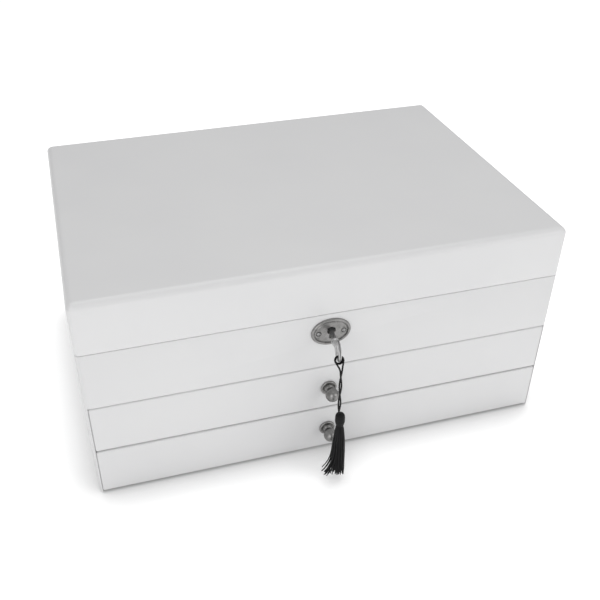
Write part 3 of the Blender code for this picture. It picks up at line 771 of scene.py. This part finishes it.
def make_knob(level, material):
    """A ball on a cupped seat."""
    node = f"{level}_drawer_knob"
    a, b = low(node), high(node)
    profile = list(KNOB_SEAT)
    for radius, out in arc((0, KNOB_BALL_OUT), KNOB_BALL_R, -42, 86, 26):
        profile.append((radius, out))
    centre = ((a.x + b.x) / 2, (a.z + b.z) / 2)
    knob = lathe_out(f"{level}_ball_knob", profile, centre, material, 64, 50)
    return place_on(knob, f"{level}_drawer", node)


def oval(inset, out):
    """The escutcheon's outline drawn in by a distance."""
    points = []
    for k in range(96):
        angle = math.tau * k / 96
        x = HARDWARE_X + (PLATE_HALF[0] - inset) * math.cos(angle)
        z = PLATE_Z + (PLATE_HALF[1] - inset) * math.sin(angle)
        points.append((x, FRONT_Y - out, z))
    return points


def make_escutcheon(material):
    """The oval plate with its rolled rim and groove, pierced by the keyhole."""
    plate = stack("escutcheon_plate", [oval(*step) for step in PLATE_PROFILE], material, 50)
    bore = [(KEYHOLE_R, 0.004), (KEYHOLE_R, -0.002)]
    hole = lathe_out("hole", bore, (HARDWARE_X, KEYHOLE_Z), None, 48, 0)
    half, reach = KEYHOLE_SLOT[0] / 2, KEYHOLE_SLOT[1]
    slot_y = (FRONT_Y - 0.004, FRONT_Y + 0.002)
    slot = block("slot", (HARDWARE_X - half, HARDWARE_X + half), slot_y, (KEYHOLE_Z - reach, KEYHOLE_Z))
    sinks = []
    for sign in (-1, 1):
        dip = [(COUNTERSINK_R, COUNTERSINK_FLOOR), (COUNTERSINK_R, 0.004)]
        sinks.append(lathe_out("sink", dip, (HARDWARE_X + sign * PIN_SPREAD, PLATE_Z), None, 32, 0))
    carve(plate, hole, slot, *sinks)
    smooth(plate, 50)
    place_on(plate, "case", "escutcheon")


def make_screw(name, sign, turn, material):
    """A small domed screw with a slot."""
    place = (HARDWARE_X + sign * PIN_SPREAD, PLATE_Z)
    screw = lathe_out(name, SCREW_PROFILE, place, material, 32, 40)
    slot = block("slot", (-SCREW_SLOT_HALF, SCREW_SLOT_HALF), SCREW_SLOT_Y, (-0.002, 0.002))
    slot.data.transform(Matrix.Translation((place[0], FRONT_Y, place[1])) @ Matrix.Rotation(turn, 4, "Y"))
    carve(screw, slot)
    smooth(screw, 40)
    return screw


def make_key(material):
    """The key: shaft with collars, bit, and a ring bow of flattened wire."""
    place = (HARDWARE_X, KEYHOLE_Z)
    key = lathe_out("lock_key", KEY_SHAFT_PROFILE, place, material, 40, 40)
    bit_x = (HARDWARE_X - KEY_BIT_THICKNESS / 2, HARDWARE_X + KEY_BIT_THICKNESS / 2)
    bit_y = (FRONT_Y + KEY_BIT_Y[0], FRONT_Y + KEY_BIT_Y[1])
    bit = block("bit", bit_x, bit_y, (KEYHOLE_Z - KEY_BIT_DROP, KEYHOLE_Z))
    wire = (BOW_R - BOW_HOLE_R) / 2
    around, section = 96, 20
    verts = []
    for k in range(around):
        turn = math.tau * k / around
        for n in range(section):
            angle = math.tau * n / section
            bulge = math.copysign(abs(math.cos(angle)) ** 0.8, math.cos(angle))
            side = math.copysign(abs(math.sin(angle)) ** 0.8, math.sin(angle))
            radius = BOW_MIDDLE_R + wire * bulge
            if n == 0:
                radius -= BOW_GROOVE
            x = HARDWARE_X + side * BOW_THICKNESS / 2
            y = FRONT_Y - BOW_CENTRE + radius * math.cos(turn)
            verts.append((x, y, KEYHOLE_Z + radius * math.sin(turn)))
    bow = mesh_piece("bow", verts, torus_faces(around, section), None, 0)
    carve(key, bit, bow, operation="UNION")
    centre = Vector((HARDWARE_X, FRONT_Y, KEYHOLE_Z))
    turn = Matrix.Translation(centre) @ Matrix.Rotation(KEY_YAW, 4, "Z") @ Matrix.Translation(-centre)
    key.data.transform(turn)
    smooth(key, 40)
    return place_on(key, "key", "key")


# Cord and tassel


def key_directions():
    """Unit vectors out along the key and across it, both level."""
    out = Vector((math.sin(KEY_YAW), -math.cos(KEY_YAW), 0.0))
    across = Vector((math.cos(KEY_YAW), math.sin(KEY_YAW), 0.0))
    return out, across


def bow_centre():
    """The middle of the key's ring bow."""
    out, _ = key_directions()
    return Vector((HARDWARE_X, FRONT_Y, KEYHOLE_Z)) + out * BOW_CENTRE


def rim_point():
    """The middle of the bow's rim where the cord goes round it."""
    out, _ = key_directions()
    angle = math.radians(RIM_ANGLE)
    drop = Vector((0, 0, -BOW_MIDDLE_R * math.sin(angle)))
    return bow_centre() + out * BOW_MIDDLE_R * math.cos(angle) + drop


def hang_point():
    """Where the tassel hangs plumb, a little to the side of the rim."""
    out, across = key_directions()
    return rim_point() + out * HANG_OUT + across * HANG_ACROSS


def through(points, count):
    """A smooth curve through points, sampled evenly enough for a tube."""
    samples = []
    last = len(points) - 1
    for k in range(count):
        at = k * last / (count - 1)
        n = min(int(at), last - 1)
        t = at - n
        before = points[max(n - 1, 0)]
        start, end = points[n], points[n + 1]
        after = points[min(n + 2, last)]
        place = start * 2 + (end - before) * t
        place += (before * 2 - start * 5 + end * 4 - after) * t**2
        place += (start * 3 - before - end * 3 + after) * t**3
        samples.append(place / 2)
    return samples


def eased(points):
    """The curve with its sharpest bends relaxed, its ends kept."""
    for _ in range(CORD_EASING):
        middle = [(a + b * 2 + c) / 4 for a, b, c in zip(points, points[1:], points[2:])]
        points = [points[0], *middle, points[-1]]
    return points


def cord_route():
    """Up from the tassel, round the bow's rim and down again, the two strands twisted together."""
    out, across = key_directions()
    plumb = hang_point()
    rim = rim_point()
    angle = math.radians(RIM_ANGLE)
    inward = Vector((0, 0, math.sin(angle))) - out * math.cos(angle)
    foot = TASSEL_TOP + GAP + 0.0002
    throat = rim.z - LOOP_DROP
    rise = []
    for k in range(CORD_STEPS + 1):
        part = k / CORD_STEPS
        turn = math.pi * (part - 1) * CORD_TURNS
        offset = (across * math.cos(turn) + out * math.sin(turn)) * CORD_DIAMETER * CORD_SPREAD
        rise.append(Vector((plumb.x, plumb.y, foot + (throat - foot) * part)) + offset)
    over = []
    for k in range(7):
        swing = math.radians(LOOP_START + LOOP_SWEEP * k / 6)
        over.append(rim + (across * math.cos(swing) + inward * math.sin(swing)) * CORD_LOOP_R)
    fall = []
    for point in reversed(rise):
        fall.append(Vector((2 * plumb.x - point.x, 2 * plumb.y - point.y, point.z)))
    return eased(through(rise + over + fall, CORD_POINTS))


def tube(points, radius_at, section, shape=None):
    """Rings of a tube along points. shape scales the radius round the section at each ring."""
    rings = []
    side = None
    for k, place in enumerate(points):
        ahead = points[min(k + 1, len(points) - 1)] - points[max(k - 1, 0)]
        ahead.normalize()
        if side is None:
            side = ahead.orthogonal().normalized()
        side = (side - ahead * side.dot(ahead)).normalized()
        other = ahead.cross(side)
        ring = []
        for n in range(section):
            angle = math.tau * n / section
            radius = radius_at(k / (len(points) - 1))
            if shape:
                radius *= shape(k, angle)
            ring.append(place + (side * math.cos(angle) + other * math.sin(angle)) * radius)
        rings.append(ring)
    return rings


def make_cord(material):
    """The doubled cord: three yarns laid up into each strand."""
    points = through(cord_route(), 3 * CORD_POINTS)
    spacing = sum((b - a).length for a, b in zip(points, points[1:])) / (len(points) - 1)
    lay = math.tau * spacing / YARN_LAY

    def yarns(k, angle):
        return 0.80 + 0.20 * abs(math.cos(1.5 * (angle - k * lay)))

    rings = tube(points, lambda _: CORD_DIAMETER / 2, 18, yarns)
    return stack("tassel_loop", rings, material, 60), points


def make_hitch(material):
    """The hitch: two tight turns of the cord side by side round the bow's rim."""
    out, across = key_directions()
    around, section = 48, 12
    verts, faces = [], []
    for degrees in HITCH_ANGLES:
        angle = math.radians(degrees)
        radial = out * math.cos(angle) - Vector((0, 0, math.sin(angle)))
        along = across.cross(radial)
        rim = bow_centre() + radial * BOW_MIDDLE_R
        first = len(verts)
        for k in range(around):
            turn = math.tau * k / around
            ahead = across * math.cos(turn) + radial * math.sin(turn)
            for n in range(section):
                swing = math.tau * n / section
                lift = ahead * math.cos(swing) + along * math.sin(swing)
                yarn = 0.84 + 0.16 * abs(math.cos(1.5 * (swing + 4 * turn)))
                verts.append(rim + ahead * HITCH_R + lift * CORD_DIAMETER / 2 * yarn)
        faces += torus_faces(around, section, first)
    return mesh_piece("tassel_hitch", verts, faces, material, 60)


def make_head(material):
    """The tassel's head: thread wound round and round over a small core."""
    plumb = hang_point()
    outline = [(radius, TASSEL_TOP - down) for radius, down in HEAD_OUTLINE]
    steps, section = 90, 32
    rings = []
    for k in range(steps + 1):
        z = TASSEL_TOP + (TASSEL_NECK - TASSEL_TOP) * k / steps
        radius = outline[-1][0]
        for upper, lower in zip(outline, outline[1:]):
            if upper[1] >= z >= lower[1]:
                share = (upper[1] - z) / (upper[1] - lower[1])
                radius = upper[0] + (lower[0] - upper[0]) * share
        ring = []
        for n in range(section):
            angle = math.tau * n / section
            wound = 0.00010 * abs(math.sin(math.pi * (z / HEAD_WINDING + n / section)))
            reach = radius + wound - 0.00005
            ring.append((plumb.x + HEAD_LEAN + reach * math.cos(angle), plumb.y + reach * math.sin(angle), z))
        rings.append(ring)
    return stack("tassel_knot", rings, material, 60)


def strand_points(rng, angle, spread, length):
    """One thread of the skirt: out of the neck, over the shoulder and down, with a slight wave."""
    plumb = hang_point()
    points = []
    drift = rng.uniform(-0.35, 0.35)
    phase = rng.uniform(0, math.tau)
    wave = rng.uniform(0.00005, 0.00022)
    for k in range(STRAND_STEPS + 1):
        part = k / STRAND_STEPS
        reach = NECK_R + (spread - NECK_R) * min(1.0, part * 2.2) ** 0.6
        swing = angle + drift * part
        wobble = wave * math.sin(phase + part * 9.0) * part
        x = plumb.x + (reach + wobble) * math.cos(swing)
        y = plumb.y + (reach + wobble) * math.sin(swing)
        z = TASSEL_NECK + 0.0003 - length * part
        points.append(Vector((x, y, z)))
    return points


def make_skirt(material):
    """The skirt: many separate threads with uneven ends, a few of them straying to the left."""
    rng = random.Random(SEED)
    full = TASSEL_NECK - TASSEL_BOTTOM
    plumb = hang_point()
    head_lean = Vector((HEAD_LEAN, 0.0, 0.0))
    lean = Vector((TASSEL_LEAN, 0.0, 0.0))
    verts, faces = [], []
    for k in range(STRAND_COUNT):
        angle = math.tau * (k * 0.618034)
        layer = math.sqrt((k + 0.5) / STRAND_COUNT)
        spread = SKIRT_R * layer + rng.uniform(-0.0002, 0.0002)
        length = full * rng.uniform(0.90, 1.0)
        points = strand_points(rng, angle, spread, length)
        stray = Vector((0.0, 0.0, 0.0))
        if math.cos(angle) < -0.55 and layer > 0.6:
            reach = rng.choice(STRAY_REACHES)
            stray = Vector((-reach - rng.uniform(0.0, 0.0012), rng.uniform(-0.0012, 0.0004), 0.25 * reach))
        for n, point in enumerate(points):
            part = n / STRAND_STEPS
            point += head_lean + lean * part + stray * part**STRAY_BEND
        radius = STRAND_R * rng.uniform(0.8, 1.1)
        rings = tube(points, lambda part: radius, 6)
        first = len(verts)
        verts += [point for ring in rings for point in ring]
        faces += ring_faces(6, len(rings), first)
    core_top = TASSEL_NECK + 0.0002
    core = [(NECK_R, core_top), (0.0026, core_top - 0.005), (0.0030, core_top - 0.016), (0.0027, 0.0100)]
    first = len(verts)
    for radius, z in core:
        verts += [(plumb.x + HEAD_LEAN + px, plumb.y + py, z) for px, py in circle(radius, 20)]
    faces += ring_faces(20, len(core), first)
    return mesh_piece("tassel_threads", verts, faces, material, 60)


def make_tassel(material):
    """The cord, head and skirt, which rest in the upper drawer when it is open."""
    cord, points = make_cord(material)
    hitch = make_hitch(material)
    head = make_head(material)
    skirt = make_skirt(material)
    place_on(cord, "tassel", "tassel_cord")
    place_on(hitch, "key")
    place_on(head, "tassel", "tassel_head")
    place_on(skirt, "tassel", "tassel_skirt")
    for piece in (cord, head, skirt):
        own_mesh(piece)


# Ring rolls


def roll_shape(x, y, z):
    """A long roll with round ends and a flat underside, made of rings along its length."""
    radius = (y[1] - y[0]) / 2
    middle = (y[0] + y[1]) / 2
    rings = []
    stations = 24
    for k in range(stations + 1):
        part = k / stations
        along = x[0] + (x[1] - x[0]) * part
        ends = min(part, 1 - part) * (x[1] - x[0])
        full = math.sqrt(max(0.0, 1 - (1 - min(1.0, (ends + 0.0006) / 0.006)) ** 2))
        ring = []
        for n in range(28):
            angle = math.tau * n / 28
            py = middle + radius * full * math.cos(angle)
            pz = z[1] - radius + radius * full * math.sin(angle)
            if math.sin(angle) < 0:
                pz = z[1] - radius + (z[1] - radius - z[0]) * full * math.sin(angle)
            ring.append((along, py, pz))
        rings.append(ring)
    return rings


def puff(piece, limit):
    """Swell a pad with cloth under pressure, and keep every point within a limit of where it was."""
    remesh = piece.modifiers.new("remesh", "REMESH")
    remesh.mode = "VOXEL"
    remesh.voxel_size = 0.004
    settle(piece)
    before = [v.co.copy() for v in piece.data.vertices]
    cloth = piece.modifiers.new("cloth", "CLOTH")
    cloth.settings.use_pressure = True
    cloth.settings.uniform_pressure_force = 4
    cloth.settings.effector_weights.gravity = 0
    scene = bpy.context.scene
    for step in range(1, 21):
        scene.frame_set(step)
    settle(piece)
    scene.frame_set(1)
    for vertex, place in zip(piece.data.vertices, before):
        moved = vertex.co - place
        if moved.length > limit:
            vertex.co = place + moved.normalized() * limit
    subdivide = piece.modifiers.new("finer", "SUBSURF")
    subdivide.levels = 1
    settle(piece)
    piece.data.shade_smooth()
    return piece


def make_rolls(material):
    """Six padded rolls side by side, which hold rings in the grooves between them."""
    a, b = low("ring_cushion"), high("ring_cushion")
    pitch = (b.y - a.y) / ROLL_COUNT
    first = None
    for k in range(ROLL_COUNT):
        name = f"ring_roll_{k + 1}"
        if first is None:
            x = (a.x + ROLL_END_GAP, b.x - ROLL_END_GAP)
            y = (a.y + ROLL_GAP / 2, a.y + pitch - ROLL_GAP / 2)
            z = (a.z + ROLL_CLEARANCE, ROLL_TOP - ROLL_CLEARANCE)
            roll = stack(name, roll_shape(x, y, z), material)
            puff(roll, ROLL_PUFF)
            first = roll
        else:
            roll = bpy.data.objects.new(name, first.data.copy())
            bpy.context.collection.objects.link(roll)
            roll.data.transform(Matrix.Translation((0, pitch * k, 0)))
        crease = Vector((k * 3.7, 0.0, 0.0))
        for vertex in roll.data.vertices:
            lump = noise.noise(vertex.co * 55 + crease)
            vertex.co.z += 0.0003 * lump
            vertex.co.z = max(vertex.co.z, a.z + 0.0002)
        place_on(roll, "case", "ring_cushion")


# Carried-over parts


def dress(names, material):
    """Give CAD parts a finished material."""
    for name in names:
        data = NODES[name].data
        if not data.materials:
            data.materials.append(material)
        for index in range(len(data.materials)):
            data.materials[index] = material


bpy.context.scene.view_settings.view_transform = "Standard"
make_camera()

THREAD = thread()
make_tassel(THREAD)

LACQUER = lacquer()
WOOD = raw_wood()
VELVET = velvet("velvet", (0.235, 0.235, 0.25), (0.29, 0.29, 0.31))
FELT = felt()
NICKEL = antique_nickel("antique_nickel", (0.075, 0.074, 0.072), (0.22, 0.217, 0.213))
KEY_METAL = antique_nickel("key_metal", (0.17, 0.17, 0.17), (0.42, 0.42, 0.42))
SCREW_METAL = antique_nickel("screw_metal", (0.12, 0.12, 0.12), (0.30, 0.30, 0.30))
STEEL = steel()
MIRROR = mirror_glass()

make_case_shell(LACQUER)
make_lid_shell(LACQUER)
for LEVEL in ("lower", "upper"):
    make_drawer_front(LEVEL, LACQUER)
    make_knob(LEVEL, NICKEL)
    make_velvet_board(f"{LEVEL}_drawer_lining", f"{LEVEL}_drawer", VELVET)
    dress([f"{LEVEL}_drawer_{side}" for side in ("left", "right", "back", "bottom")], WOOD)
    dress([f"{LEVEL}_drawer_knob_screw"], STEEL)
make_escutcheon(NICKEL)
for SIDE, SIGN, TURN in (("left", -1, 0.5), ("right", 1, -0.9)):
    place_on(make_screw(f"plate_screw_{SIDE}", SIGN, TURN, SCREW_METAL), "case", f"escutcheon_pin_{SIDE}")
make_key(KEY_METAL)
DIVIDERS = ("long_divider", "front_divider", "rear_divider_left", "rear_divider_right")
for BOARD in ("compartment_lining",) + DIVIDERS:
    make_velvet_board(BOARD, "case", VELVET, 0.0009)
make_velvet_board("lid_lining", "lid", VELVET)
make_rolls(VELVET)

dress(["case_bottom", "case_deck"], LACQUER)
dress(["drawer_shelf"], WOOD)
dress(["base_felt"], FELT)
dress(["lid_mirror"], MIRROR)
dress(["lock_case", "lock_bolt", "lock_drum", "strike_plate"], STEEL)
for SIDE in ("left", "right"):
    dress([f"case_hinge_leaf_{SIDE}", f"lid_hinge_leaf_{SIDE}", f"hinge_pin_{SIDE}"], STEEL)

make_floor()
make_world()
for SOFTBOX in SOFTBOXES:
    make_softbox(*SOFTBOX)
